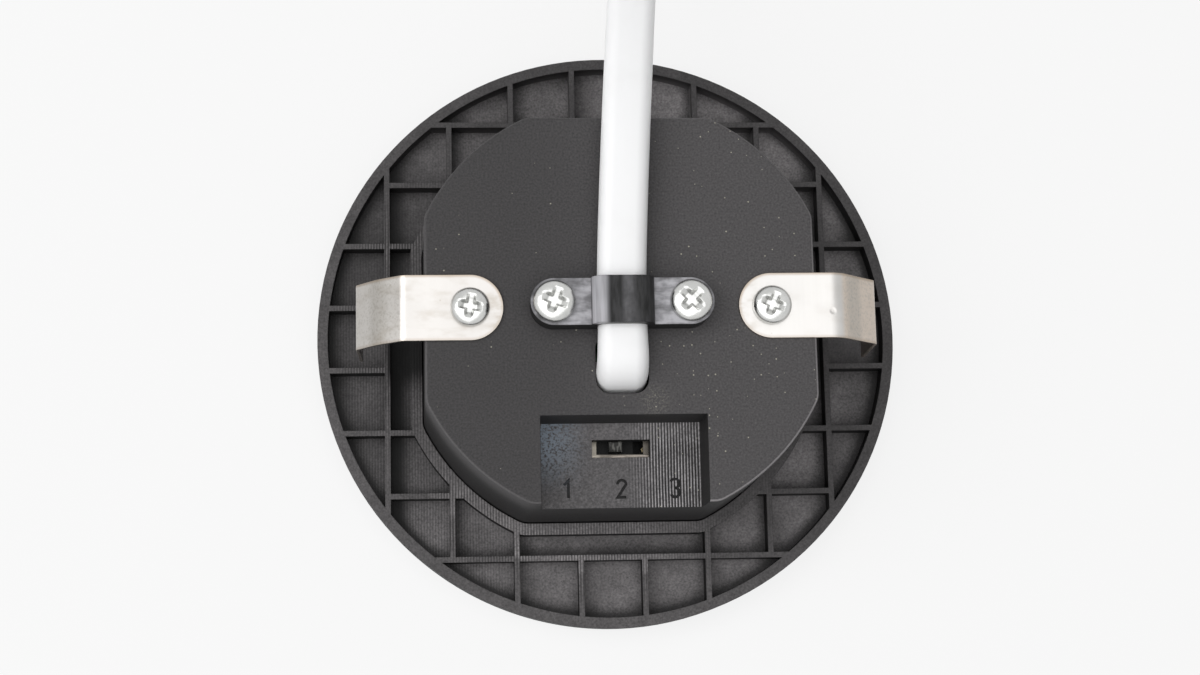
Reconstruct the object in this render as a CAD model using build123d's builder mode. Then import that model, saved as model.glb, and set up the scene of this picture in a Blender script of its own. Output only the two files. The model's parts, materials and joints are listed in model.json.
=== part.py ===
from build123d import *
from math import pi, radians, sqrt, tan
import os

# Recessed ceiling light, lying on its front face as it does on a bench.
# Millimetres. +Z points from the front face to the back, the origin is the centre of the front face.

# Bezel: rim, rib grid and the collar that takes the housing
trim_radius = 45.0
rim_wall = 1.6
face_plate = 2.0
rib_height = 3.0
rib_wall = 0.85
rib_pitch = 9.78
collar_wall = 1.75
trim_edge_round = 1.2

# Housing: round plan cut by four flats
mouth_wall = 2.25
corner_rise = 3.05
housing_corner = 3.5
housing_wall = 2.0
housing_draft = 0.8
back_rise = 24.7
back_plate = 2.5
back_edge_round = 0.5
fit_gap = 0.15
snap_width = 6.0
snap_height = 1.0
snap_depth = 0.4

# Lens, its seal and the reflector behind it
light_radius = 25.0
lens_lap = 1.5
lens_flange = 1.2
lens_wall = 1.6
lens_setback = 0.4
seal_width = 1.1
seal_thickness = 0.8
shelf_thickness = 1.5
reflector_wall = 1.3

# Light source on its heat spreader
spreader_gap = 1.75
spreader_thickness = 2.5
led_board_gap = 1.15
led_board_thickness = 1.6
chip_length = 3.5
chip_width = 2.8
chip_height = 0.7
chip_gap = 0.85
chip_margin = 4.2
ring_step = 6.8
column_radius = 3.0

# Driver board and what stands on it
board_side_gap = 0.35
board_end_gap = 1.95
board_thickness = 1.6
board_gap = 2.1
insulator_thickness = 0.3
insulator_inset = 3.3
post_radius = 2.2
post_inset = 2.4
pin_radius = 0.4
pin_pitch = 2.54
hole_gap = 0.05

# Switch pocket in the back face, with the slide switch under its floor
pocket_width = 24.1
pocket_top_y = -15.7
pocket_depth = 6.5
pocket_draft = 3.0
pocket_floor = 2.0
slot_length = 8.5
slot_width = 2.6
slot_y = -19.8
switch_x = 0.0
switch_y = -19.4
switch_length = 10.6
switch_width = 5.2
switch_height = 3.85
switch_sheet = 0.3
switch_travel = 2.0
lever_length = 1.9
lever_width = 1.5
lever_rest = -0.74
lever_setback = 0.6
lever_gap = 0.25
mark_pitch = 7.8
mark_inset = 2.75
mark_height = 2.5
mark_stroke = 0.38
mark_depth = 0.25

# Spring clips: flat foot, sloping shoulder and upright leg
clip_sheet = 0.5
clip_width = 9.6
clip_screw_x = 21.85
clip_overhang = 1.45
hinge_gap = 0.1
leg_end_z = 12.4

# Screws
pan_head_radius = 2.85
pan_head_height = 1.9
thread_radius = 1.45
small_head_radius = 1.9
small_head_height = 1.2
small_thread_radius = 0.95
pilot_depth = 8.0
boss_wall = 1.4

# Flat twin cable and its clamp
cable_width = 7.15
cable_thickness = 4.2
cable_x = -0.1
cable_hole_y = -10.3
cable_hole_gap = 0.25
cable_tail = 3.5
exit_bend = 6.0
floor_gap = 0.1
core_radius = 1.15
core_spacing = 3.2
core_length = 30.0
tip_radius = 0.55
tip_length = 8.0
clamp_y = 0.15
clamp_pitch = 19.6
clamp_width = 6.8
clamp_tab = 3.6
clamp_wall = 1.4
clamp_side = 0.85
clamp_gap = 0.1
clamp_shoulder = 2.0

# Heights that follow from the sizes above
seat_z = face_plate + rib_height
back_z = seat_z + back_rise
inside_z = back_z - back_plate
lens_back_z = face_plate + lens_flange
shelf_z = lens_back_z + seal_thickness
cavity_z = shelf_z + shelf_thickness
pocket_z = back_z - pocket_depth
floor_under_z = pocket_z - pocket_floor
switch_top_z = floor_under_z - fit_gap
board_top_z = switch_top_z - switch_height
board_z = board_top_z - board_thickness
spreader_top_z = board_z - board_gap
spreader_z = spreader_top_z - spreader_thickness
led_board_z = spreader_z - led_board_thickness
headroom = inside_z - board_top_z

# Plan sizes that follow, from the light's opening outwards and then back in
lens_radius = light_radius + lens_lap
housing_flat = lens_radius + mouth_wall
housing_radius = housing_flat + corner_rise
spreader_radius = housing_flat - housing_wall - spreader_gap
bore_radius = lens_radius + fit_gap
shelf_radius = lens_radius - seal_width
reflector_radius = shelf_radius - fit_gap
column_reach = spreader_radius - column_radius
led_board_radius = column_reach - pan_head_radius - led_board_gap
outer_ring = led_board_radius - chip_margin
inner_ring = outer_ring - ring_step
board_width = 2 * (column_reach * sqrt(0.5) - column_radius - board_side_gap)
board_length = 2 * (housing_flat - housing_wall - board_end_gap)
chord = 3.5 * rib_pitch
back_flat = housing_flat - back_rise * tan(radians(housing_draft))
hinge_x = back_flat + clip_overhang
hinge_z = back_z + clip_sheet / 2
hole_low_y = cable_hole_y - cable_thickness / 2 - cable_hole_gap
hole_high_y = cable_hole_y + exit_bend + cable_hole_gap
clip_screws_at = ((-clip_screw_x, 0), (clip_screw_x, 0))
clamp_screws_at = ((cable_x - clamp_pitch / 2, clamp_y), (cable_x + clamp_pitch / 2, clamp_y))
post_x = board_width / 2 - post_inset
post_y = board_length / 2 - 1.5 * post_inset
posts_at = [(x, y) for x in (-post_x, post_x) for y in (-post_y, post_y)]
link_pins_at = [(step * pin_pitch, 0) for step in (-1, 0, 1)]
switch_pins_at = [(switch_x + step * pin_pitch, switch_y) for step in (-1.5, -0.5, 0.5, 1.5)]

os.makedirs("parts", exist_ok=True)


def cut_round(radius, flat, corner):
    """Round plan cut by four flats, with the corners between them rounded."""
    with BuildSketch() as plan:
        Circle(radius)
        Rectangle(2 * flat, 2 * flat, mode=Mode.INTERSECT)
        fillet(plan.vertices(), corner)
    return plan.sketch


def housing_plan(grow):
    """The housing's plan grown outwards, or inwards where grow is negative."""
    return cut_round(housing_radius + grow, housing_flat + grow, housing_corner)


def screw_set(places, seat, head_radius, head_height, shank_radius, length, up):
    """Pan head screws with a cross recess; the heads stand on the seat height, upwards where up is 1."""
    head = Plane(origin=(0, 0, seat), x_dir=(1, 0, 0), z_dir=(0, 0, up))
    points = [(x, y * up) for x, y in places]
    with BuildPart() as screws:
        with BuildSketch(head):
            with Locations(*points):
                Circle(head_radius)
        extrude(amount=head_height)
        rings = screws.edges().filter_by(GeomType.CIRCLE).sort_by(Axis.Z, reverse=up > 0)
        fillet(rings[: len(points)], head_height / 2)
        with BuildSketch(head):
            with Locations(*points):
                Circle(shank_radius)
        extrude(amount=-length)
        with BuildSketch(head.offset(head_height)):
            with Locations(*points):
                Rectangle(head_radius, head_radius / 4)
                Rectangle(head_radius / 4, head_radius)
        extrude(amount=-head_height / 2, mode=Mode.SUBTRACT)
    return screws


# Front bezel
collar_bore = housing_plan(fit_gap)
collar_outside = housing_plan(fit_gap + collar_wall)
rib_runs = (
    (0.5, chord, trim_radius),
    (1.5, 0, trim_radius),
    (2.5, 0, chord),
    (3.5, 0, trim_radius),
)
with BuildSketch() as rib_grid:
    for order, start, end in rib_runs:
        middle = (start + end) / 2
        with PolarLocations(0, 4):
            with Locations((order * rib_pitch, middle), (-order * rib_pitch, middle)):
                Rectangle(rib_wall, end - start)
    with GridLocations(5 * rib_pitch - rib_wall, 5 * rib_pitch - rib_wall, 2, 2):
        Rectangle(rib_wall, rib_wall)
    Circle(trim_radius - rim_wall / 2, mode=Mode.INTERSECT)

with BuildPart() as front_bezel:
    with BuildSketch():
        Circle(trim_radius)
    extrude(amount=face_plate)
    fillet(front_bezel.edges().group_by(Axis.Z)[0], trim_edge_round)
    with BuildSketch(Plane.XY.offset(face_plate)):
        Circle(trim_radius)
        Circle(trim_radius - rim_wall, mode=Mode.SUBTRACT)
        add(collar_outside)
        add(rib_grid.sketch)
    extrude(amount=rib_height)
    with BuildSketch(Plane.XY.offset(face_plate)):
        add(collar_bore)
    extrude(amount=rib_height, mode=Mode.SUBTRACT)
    with BuildSketch():
        Circle(light_radius)
    extrude(amount=face_plate, mode=Mode.SUBTRACT)
    with PolarLocations(housing_radius, 4, start_angle=45):
        with Locations((0, 0, face_plate + rib_height / 2)):
            Box(
                2 * (snap_depth + fit_gap),
                snap_width + 2 * fit_gap,
                snap_height + 2 * fit_gap,
                mode=Mode.SUBTRACT,
            )
front_bezel.part.label = "front_bezel"
export_step(front_bezel.part, "parts/front_bezel.step")

# Opal lens: a shallow dish whose flange lies behind the face plate
with BuildPart() as diffuser_lens:
    with BuildSketch(Plane.XY.offset(lens_setback)):
        Circle(light_radius - fit_gap)
    extrude(amount=lens_back_z - lens_setback)
    with BuildSketch(Plane.XY.offset(face_plate)):
        Circle(lens_radius)
    extrude(amount=lens_flange)
    with BuildSketch(Plane.XY.offset(lens_setback + lens_wall)):
        Circle(light_radius - lens_wall)
    extrude(amount=lens_back_z, mode=Mode.SUBTRACT)
diffuser_lens.part.label = "diffuser_lens"
export_step(diffuser_lens.part, "parts/diffuser_lens.step")

# Flat ring seal between the lens and the housing's shelf
with BuildPart() as lens_seal:
    with BuildSketch(Plane.XY.offset(lens_back_z)):
        Circle(lens_radius)
        Circle(lens_radius - seal_width, mode=Mode.SUBTRACT)
    extrude(amount=seal_thickness)
lens_seal.part.label = "lens_seal"
export_step(lens_seal.part, "parts/lens_seal.step")

# White conical reflector from the lens to the light source
mouth_radius = light_radius - lens_wall + fit_gap
throat_radius = led_board_radius - reflector_wall
with BuildPart() as reflector:
    with BuildSketch(Plane.XZ):
        with BuildLine():
            Polyline(
                (mouth_radius, lens_back_z),
                (reflector_radius, lens_back_z),
                (reflector_radius, lens_back_z + reflector_wall),
                (throat_radius + reflector_wall, led_board_z),
                (throat_radius, led_board_z),
                close=True,
            )
        make_face()
    revolve(axis=Axis.Z)
reflector.part.label = "reflector"
export_step(reflector.part, "parts/reflector.step")

# Light source board, its chips facing the lens
led_screw_reach = (inner_ring + outer_ring) / 2
led_screws_at = ((-led_screw_reach, 0), (led_screw_reach, 0))
with BuildPart() as led_board:
    with BuildSketch(Plane.XY.offset(led_board_z)):
        Circle(led_board_radius)
        with Locations(*link_pins_at):
            Circle(pin_radius + hole_gap, mode=Mode.SUBTRACT)
        with Locations(*led_screws_at):
            Circle(small_thread_radius + fit_gap, mode=Mode.SUBTRACT)
    extrude(amount=led_board_thickness)
led_board.part.label = "led_board"
export_step(led_board.part, "parts/led_board.step")

with BuildPart() as led_chips:
    with BuildSketch(Plane.XY.offset(led_board_z)):
        for ring_radius in (inner_ring, outer_ring):
            pairs = int(pi * (ring_radius - chip_width / 2) / (chip_length + chip_gap))
            with PolarLocations(ring_radius, 2 * pairs, start_angle=90 / pairs):
                Rectangle(chip_width, chip_length)
    extrude(amount=-chip_height)
led_chips.part.label = "led_chips"
export_step(led_chips.part, "parts/led_chips.step")

# Aluminium heat spreader screwed to the housing's four columns
columns_at = PolarLocations(column_reach, 4, start_angle=45).local_locations
columns_at = [(place.position.X, place.position.Y) for place in columns_at]
pin_slot_length = 2 * pin_pitch + 4 * pin_radius
with BuildPart() as heat_spreader:
    with BuildSketch(Plane.XY.offset(spreader_z)):
        Circle(spreader_radius)
        SlotCenterToCenter(pin_slot_length, 4 * pin_radius, mode=Mode.SUBTRACT)
        with Locations(*columns_at):
            Circle(thread_radius + fit_gap, mode=Mode.SUBTRACT)
        with Locations(*led_screws_at):
            Circle(small_thread_radius + hole_gap, mode=Mode.SUBTRACT)
    extrude(amount=spreader_thickness)
heat_spreader.part.label = "heat_spreader"
export_step(heat_spreader.part, "parts/heat_spreader.step")

spreader_screws = screw_set(
    columns_at, spreader_z, pan_head_radius, pan_head_height, thread_radius, pilot_depth, -1
)
spreader_screws.part.label = "spreader_screws"
export_step(spreader_screws.part, "parts/spreader_screws.step")

led_screws = screw_set(
    led_screws_at,
    led_board_z,
    small_head_radius,
    small_head_height,
    small_thread_radius,
    led_board_thickness + spreader_thickness,
    -1,
)
led_screws.part.label = "led_screws"
export_step(led_screws.part, "parts/led_screws.step")

# Insulating sheet that keeps the driver's solder side off the spreader
insulator_width = board_width - 2 * fit_gap
with BuildPart() as insulator_sheet:
    with BuildSketch(Plane.XY.offset(spreader_top_z)):
        Rectangle(insulator_width, board_length - 2 * insulator_inset)
        SlotCenterToCenter(pin_slot_length, 4 * pin_radius, mode=Mode.SUBTRACT)
        with Locations(*led_screws_at):
            Circle(small_head_radius, mode=Mode.SUBTRACT)
    extrude(amount=insulator_thickness)
insulator_sheet.part.label = "insulator_sheet"
export_step(insulator_sheet.part, "parts/insulator_sheet.step")

# Driver board on four posts under the back plate
with BuildPart() as driver_board:
    with BuildSketch(Plane.XY.offset(board_z)):
        Rectangle(board_width, board_length)
        with Locations(*posts_at):
            Circle(small_thread_radius + fit_gap, mode=Mode.SUBTRACT)
        with Locations(*link_pins_at, *switch_pins_at):
            Circle(pin_radius + hole_gap, mode=Mode.SUBTRACT)
    extrude(amount=board_thickness)
driver_board.part.label = "driver_board"
export_step(driver_board.part, "parts/driver_board.step")

post_pilot = floor_under_z - board_top_z
board_screws = screw_set(
    posts_at,
    board_z,
    small_head_radius,
    small_head_height,
    small_thread_radius,
    board_thickness + post_pilot - hole_gap,
    -1,
)
board_screws.part.label = "board_screws"
export_step(board_screws.part, "parts/board_screws.step")

# Pins that carry the two light colours from the driver to the light source
with BuildPart() as link_pins:
    with BuildSketch(Plane.XY.offset(led_board_z - pin_radius)):
        with Locations(*link_pins_at):
            Circle(pin_radius)
    extrude(amount=board_top_z - led_board_z + 3 * pin_radius)
link_pins.part.label = "link_pins"
export_step(link_pins.part, "parts/link_pins.step")

# Parts of the driver: transformer, capacitors, rectifier and control chip
transformer_width = 13.0
transformer_depth = 5.6
transformer_gap = 1.0
transformer_height = headroom - transformer_gap
transformer_frame = 1.9
winding_depth = 10.6
transformer_y = 12.0
with BuildPart() as transformer_core:
    with BuildSketch(Plane.XZ.offset(-transformer_y)):
        with Locations((0, board_top_z + transformer_height / 2)):
            Rectangle(transformer_width, transformer_height)
            Rectangle(
                transformer_width - 2 * transformer_frame,
                transformer_height - 2 * transformer_frame,
                mode=Mode.SUBTRACT,
            )
    extrude(amount=transformer_depth / 2, both=True)
transformer_core.part.label = "transformer_core"
export_step(transformer_core.part, "parts/transformer_core.step")

winding_width = transformer_width - 2 * transformer_frame - 2 * hole_gap
winding_height = transformer_height - 2 * transformer_frame - 2 * hole_gap
winding_z = board_top_z + transformer_height / 2
foot_height = transformer_frame + hole_gap
with BuildPart() as transformer_winding:
    with Locations((0, transformer_y, winding_z)):
        Box(winding_width, winding_depth, winding_height)
    fillet(transformer_winding.edges().filter_by(Axis.Z), transformer_frame / 2)
    feet_reach = (transformer_depth + winding_depth) / 4
    with Locations((0, transformer_y - feet_reach), (0, transformer_y + feet_reach)):
        with Locations((0, 0, board_top_z)):
            Box(
                winding_width / 2,
                (winding_depth - transformer_depth) / 2 - 2 * fit_gap,
                foot_height,
                align=(Align.CENTER, Align.CENTER, Align.MIN),
            )
transformer_winding.part.label = "transformer_winding"
export_step(transformer_winding.part, "parts/transformer_winding.step")

capacitor_radius = 2.5
capacitor_gap = 1.5
capacitor_height = headroom - capacitor_gap
capacitor_inset = 0.3
capacitor_at = (capacitor_radius + capacitor_inset - board_width / 2, -8.8)
with BuildPart() as smoothing_capacitor:
    with BuildSketch(Plane.XY.offset(board_top_z)):
        with Locations(capacitor_at):
            Circle(capacitor_radius)
    extrude(amount=capacitor_height)
    fillet(smoothing_capacitor.edges(), capacitor_radius / 8)
smoothing_capacitor.part.label = "smoothing_capacitor"
export_step(smoothing_capacitor.part, "parts/smoothing_capacitor.step")

film_gap = 2.4
film_size = (3.6, 9.0, headroom - film_gap)
film_inset = 1.4
film_at = (board_width / 2 - film_inset - film_size[0] / 2, -8.6)
with BuildPart() as film_capacitor:
    with BuildSketch(Plane.XY.offset(board_top_z)):
        with Locations(film_at):
            RectangleRounded(film_size[0], film_size[1], film_size[0] / 8)
    extrude(amount=film_size[2])
film_capacitor.part.label = "film_capacitor"
export_step(film_capacitor.part, "parts/film_capacitor.step")

chip_body = (3.9, 4.9, 1.5)
chip_inset = 0.65
chip_reach = board_width / 2 - chip_body[0] / 2 - chip_inset
chips_at = ((-chip_reach, 6.0), (chip_reach, 6.0))
for name, place in zip(("control_chip", "rectifier"), chips_at):
    with BuildPart() as driver_chip:
        with BuildSketch(Plane.XY.offset(board_top_z)):
            with Locations(place):
                Rectangle(chip_body[0], chip_body[1])
        extrude(amount=chip_body[2])
        chamfer(driver_chip.faces().sort_by(Axis.Z)[-1].edges(), chip_body[2] / 5)
    driver_chip.part.label = name
    export_step(driver_chip.part, f"parts/{name}.step")

# Push-in terminal block under the cable's hole
terminal_length = 7.2
terminal_width = 6.6
terminal_gap = 0.5
terminal_height = headroom - cable_tail - terminal_gap
terminal_y = pocket_top_y + housing_wall + fit_gap + terminal_width / 2
cores_at = [(cable_x + side * core_spacing / 2, cable_hole_y) for side in (-1, 1)]
with BuildPart() as terminal_block:
    with BuildSketch(Plane.XY.offset(board_top_z)):
        with Locations((cable_x, terminal_y)):
            Rectangle(terminal_length, terminal_width)
    extrude(amount=terminal_height)
    with BuildSketch(Plane.XY.offset(board_top_z + terminal_height)):
        with Locations(*cores_at):
            Circle(core_radius + fit_gap)
    extrude(amount=-terminal_height / 2, mode=Mode.SUBTRACT)
terminal_block.part.label = "terminal_block"
export_step(terminal_block.part, "parts/terminal_block.step")

cable_end_z = inside_z - cable_tail
inner_core_z = board_top_z + terminal_height / 2
with BuildPart() as inner_cores:
    with BuildSketch(Plane.XY.offset(inner_core_z)):
        with Locations(*cores_at):
            Circle(core_radius)
    extrude(amount=cable_end_z - inner_core_z)
inner_cores.part.label = "inner_cores"
export_step(inner_cores.part, "parts/inner_cores.step")

# Slide switch: base with pins, steel case, and the slider that a fingertip or a small tool moves
base_height = 1.0
base_length = switch_length - 2 * switch_sheet - 2 * hole_gap
base_width = switch_width - 2 * switch_sheet - 2 * hole_gap
case_slot_length = lever_length + 2 * (switch_travel + lever_gap) + 2 * lever_gap
with BuildPart() as switch_case:
    with BuildSketch(Plane.XY.offset(board_top_z)):
        with Locations((switch_x, switch_y)):
            Rectangle(switch_length, switch_width)
    extrude(amount=switch_height)
    with BuildSketch(Plane.XY.offset(board_top_z)):
        with Locations((switch_x, switch_y)):
            Rectangle(switch_length - 2 * switch_sheet, switch_width - 2 * switch_sheet)
    extrude(amount=switch_height - switch_sheet, mode=Mode.SUBTRACT)
    with BuildSketch(Plane.XY.offset(board_top_z)):
        with Locations((switch_x, switch_y)):
            Rectangle(case_slot_length, lever_width + 2 * lever_gap)
    extrude(amount=switch_height, mode=Mode.SUBTRACT)
switch_case.part.label = "switch_case"
export_step(switch_case.part, "parts/switch_case.step")

with BuildPart() as switch_base:
    with BuildSketch(Plane.XY.offset(board_top_z)):
        with Locations((switch_x, switch_y)):
            Rectangle(base_length, base_width)
        with Locations(*switch_pins_at):
            Circle(pin_radius + hole_gap, mode=Mode.SUBTRACT)
    extrude(amount=base_height)
switch_base.part.label = "switch_base"
export_step(switch_base.part, "parts/switch_base.step")

with BuildPart() as switch_pins:
    with BuildSketch(Plane.XY.offset(board_z - pin_radius)):
        with Locations(*switch_pins_at):
            Circle(pin_radius)
    extrude(amount=board_thickness + pin_radius + base_height)
switch_pins.part.label = "switch_pins"
export_step(switch_pins.part, "parts/switch_pins.step")

contact_height = 0.4
slider_z = board_top_z + base_height + contact_height + hole_gap
slider_top_z = switch_top_z - switch_sheet - fit_gap
slider_length = base_length - 2 * (switch_travel + lever_gap)
slider_at = (switch_x + lever_rest, switch_y)
with BuildPart() as switch_slider:
    with BuildSketch(Plane.XY.offset(slider_z)):
        with Locations(slider_at):
            Rectangle(slider_length, base_width - 2 * fit_gap)
    extrude(amount=slider_top_z - slider_z)
    with BuildSketch(Plane.XY.offset(slider_z)):
        with Locations(slider_at):
            Rectangle(lever_length, lever_width)
    extrude(amount=pocket_z - lever_setback - slider_z)
    lever_top = switch_slider.faces().sort_by(Axis.Z)[-1]
    chamfer(lever_top.edges(), lever_width / 8)
switch_slider.part.label = "switch_slider"
export_step(switch_slider.part, "parts/switch_slider.step")

with BuildPart() as slider_contact:
    with BuildSketch(Plane.XY.offset(slider_z)):
        with Locations(slider_at):
            Rectangle(slider_length - lever_width, lever_width)
    extrude(amount=-contact_height)
slider_contact.part.label = "slider_contact"
export_step(slider_contact.part, "parts/slider_contact.step")

# Numbers 1, 2 and 3 for the switch, as strokes about their own middle
mark_r = mark_height / 4
with BuildSketch() as mark_one:
    with BuildLine():
        Polyline((-mark_r, mark_r), (0, 2 * mark_r), (0, -2 * mark_r))
    trace(line_width=mark_stroke)
with BuildSketch() as mark_two:
    with BuildLine():
        ThreePointArc((-mark_r, mark_r), (0, 2 * mark_r), (mark_r, mark_r))
        Polyline((mark_r, mark_r), (-mark_r, -2 * mark_r), (mark_r, -2 * mark_r))
    trace(line_width=mark_stroke)
with BuildSketch() as mark_three:
    with BuildLine():
        ThreePointArc((-mark_r, 1.5 * mark_r), (mark_r, mark_r), (0, 0))
    trace(line_width=mark_stroke)
    with BuildLine():
        ThreePointArc((0, 0), (mark_r, -mark_r), (-mark_r, -1.5 * mark_r))
    trace(line_width=mark_stroke)

# Back housing: cup with columns, posts and bosses inside and the switch pocket outside
boss_radius = thread_radius + boss_wall
boss_end_z = back_z - pilot_depth - boss_wall
cavity = housing_plan(-housing_wall)
pocket_wall_y = pocket_top_y + housing_wall
with BuildPart() as back_housing:
    with BuildSketch(Plane.XY.offset(face_plate)):
        add(housing_plan(0))
    extrude(amount=back_z - face_plate, taper=housing_draft)
    fillet(back_housing.faces().sort_by(Axis.Z)[-1].edges(), back_edge_round)
    with BuildSketch(Plane.XY.offset(cavity_z)):
        add(cavity)
    extrude(amount=inside_z - cavity_z, taper=housing_draft, mode=Mode.SUBTRACT)
    with BuildSketch(Plane.XY.offset(face_plate)):
        Circle(bore_radius)
    extrude(amount=shelf_z - face_plate, mode=Mode.SUBTRACT)
    with BuildSketch(Plane.XY.offset(shelf_z)):
        Circle(shelf_radius)
    extrude(amount=shelf_thickness, mode=Mode.SUBTRACT)
    # Walls of the switch pocket, then the bosses, posts and columns
    with BuildSketch(Plane.XY.offset(floor_under_z)):
        wall_end_y = -back_flat + housing_wall / 2
        with Locations((0, (pocket_wall_y + wall_end_y) / 2)):
            Rectangle(pocket_width + 2 * housing_wall, pocket_wall_y - wall_end_y)
    extrude(amount=inside_z - floor_under_z)
    with BuildSketch(Plane.XY.offset(boss_end_z)):
        with Locations(*clip_screws_at, *clamp_screws_at):
            Circle(boss_radius)
    extrude(amount=inside_z - boss_end_z)
    with BuildSketch(Plane.XY.offset(spreader_top_z)):
        with Locations(*columns_at):
            Circle(column_radius)
    extrude(amount=inside_z - spreader_top_z)
    with BuildSketch(Plane.XY.offset(board_top_z)):
        with Locations(*posts_at):
            Circle(post_radius)
    extrude(amount=inside_z - board_top_z)
    with PolarLocations(housing_radius, 4, start_angle=45):
        with Locations((0, 0, face_plate + rib_height / 2)):
            Box(2 * snap_depth, snap_width, snap_height)
    # Pocket, open at the lower side, with the switch's slot through its floor
    with BuildSketch(Plane.XY.offset(back_z)):
        with Locations((0, pocket_top_y)):
            Rectangle(pocket_width, housing_radius, align=(Align.CENTER, Align.MAX))
    extrude(amount=-pocket_depth, taper=pocket_draft, mode=Mode.SUBTRACT)
    with BuildSketch(Plane.XY.offset(pocket_z)):
        with Locations((0, slot_y)):
            Rectangle(slot_length, slot_width)
    extrude(amount=-pocket_floor, mode=Mode.SUBTRACT)
    # Numbers sunk into the pocket's floor for the three light colours
    with BuildSketch(Plane.XY.offset(pocket_z)):
        for step, mark in enumerate((mark_one, mark_two, mark_three), start=-1):
            with Locations((step * mark_pitch, mark_inset - back_flat)):
                add(mark.sketch)
    extrude(amount=-mark_depth, mode=Mode.SUBTRACT)
    # Hole for the cable and the screws' pilot holes
    with BuildSketch(Plane.XY.offset(back_z)):
        with Locations((cable_x, (hole_low_y + hole_high_y) / 2)):
            RectangleRounded(
                cable_width + 2 * cable_hole_gap, hole_high_y - hole_low_y, cable_thickness / 2
            )
    extrude(amount=-back_plate, mode=Mode.SUBTRACT)
    with BuildSketch(Plane.XY.offset(back_z)):
        with Locations(*clip_screws_at, *clamp_screws_at):
            Circle(thread_radius + hole_gap)
    extrude(amount=-pilot_depth, mode=Mode.SUBTRACT)
    with BuildSketch(Plane.XY.offset(spreader_top_z)):
        with Locations(*columns_at):
            Circle(thread_radius + hole_gap)
    extrude(amount=pilot_depth, mode=Mode.SUBTRACT)
    with BuildSketch(Plane.XY.offset(board_top_z)):
        with Locations(*posts_at):
            Circle(small_thread_radius + hole_gap)
    extrude(amount=post_pilot, mode=Mode.SUBTRACT)
back_housing.part.label = "back_housing"
export_step(back_housing.part, "parts/back_housing.step")

# Spring clips. Each leaf bends at the line where its foot leaves the housing.
# Corners of a leaf are (distance out, drop) from that line, with the bend radius at each inner one.
leaves = {
    "left": (-1, ((1.6, 0), (5.3, 3.15), (8.3, 7.15)), (1.5, 9.0, 0.8), 8.1),
    "right": (1, ((2.1, 0), (5.2, 3.0), (8.2, 5.75)), (3.6, 20.0, 0.8), 8.7),
}
for name, (side, corners, bends, leg_out) in leaves.items():
    with BuildPart() as clip_foot:
        foot_end = hinge_x - clip_sheet / 2 - hinge_gap
        with BuildSketch(Plane.XY.offset(back_z)):
            with Locations((side * clip_screw_x, 0)):
                Circle(clip_width / 2)
            with Locations((side * (clip_screw_x + foot_end) / 2, 0)):
                Rectangle(foot_end - clip_screw_x, clip_width)
            with Locations((side * clip_screw_x, 0)):
                Circle(thread_radius + fit_gap, mode=Mode.SUBTRACT)
        extrude(amount=clip_sheet)
    clip_foot.part.label = f"{name}_clip_foot"
    export_step(clip_foot.part, f"parts/{name}_clip_foot.step")

    leaf_points = [(side * hinge_x, hinge_z)]
    leaf_points += [(side * (hinge_x + out), hinge_z - drop) for out, drop in corners]
    leaf_points += [(side * (hinge_x + leg_out), leg_end_z)]
    with BuildPart() as clip_leaf:
        with BuildSketch(Plane.XZ):
            with BuildLine():
                FilletPolyline(*leaf_points, radius=bends)
            trace(line_width=clip_sheet)
            with Locations(leaf_points[0]):
                Circle(clip_sheet / 2)
        extrude(amount=clip_width / 2, both=True)
    clip_leaf.part.label = f"{name}_clip_leaf"
    export_step(clip_leaf.part, f"parts/{name}_clip_leaf.step")

clip_screws = screw_set(
    clip_screws_at,
    back_z + clip_sheet,
    pan_head_radius,
    pan_head_height,
    thread_radius,
    pilot_depth - hole_gap,
    1,
)
clip_screws.part.label = "clip_screws"
export_step(clip_screws.part, "parts/clip_screws.step")

# Cable clamp: a saddle over the flat cable with a screw at each end
tunnel_width = cable_width + 2 * clamp_gap
tunnel_height = cable_thickness + clamp_gap
bridge_width = tunnel_width + 2 * clamp_side
with BuildPart() as cable_clamp:
    with BuildSketch(Plane.XY.offset(back_z)):
        with Locations((cable_x, clamp_y)):
            SlotCenterToCenter(clamp_pitch, clamp_width)
    extrude(amount=clamp_tab)
    with BuildSketch(Plane.XZ.offset(-clamp_y)):
        with Locations((cable_x, back_z)):
            Rectangle(bridge_width, tunnel_height + clamp_wall, align=(Align.CENTER, Align.MIN))
    extrude(amount=clamp_width / 2, both=True)
    bridge_top = cable_clamp.faces().sort_by(Axis.Z)[-1]
    fillet(bridge_top.edges().filter_by(Axis.Y), clamp_shoulder)
    with BuildSketch(Plane.XZ.offset(-clamp_y)):
        with Locations((cable_x, back_z)):
            tunnel = Rectangle(tunnel_width, tunnel_height, align=(Align.CENTER, Align.MIN))
        fillet(tunnel.vertices().group_by(Axis.Z)[-1], clamp_shoulder)
    extrude(amount=clamp_width, both=True, mode=Mode.SUBTRACT)
    with BuildSketch(Plane.XY.offset(back_z)):
        with Locations(*clamp_screws_at):
            Circle(thread_radius + fit_gap)
    extrude(amount=clamp_tab, mode=Mode.SUBTRACT)
cable_clamp.part.label = "cable_clamp"
export_step(cable_clamp.part, "parts/cable_clamp.step")

clamp_screws = screw_set(
    clamp_screws_at,
    back_z + clamp_tab,
    pan_head_radius,
    pan_head_height,
    thread_radius,
    clamp_tab + pilot_depth - hole_gap,
    1,
)
clamp_screws.part.label = "clamp_screws"
export_step(clamp_screws.part, "parts/clamp_screws.step")

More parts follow.
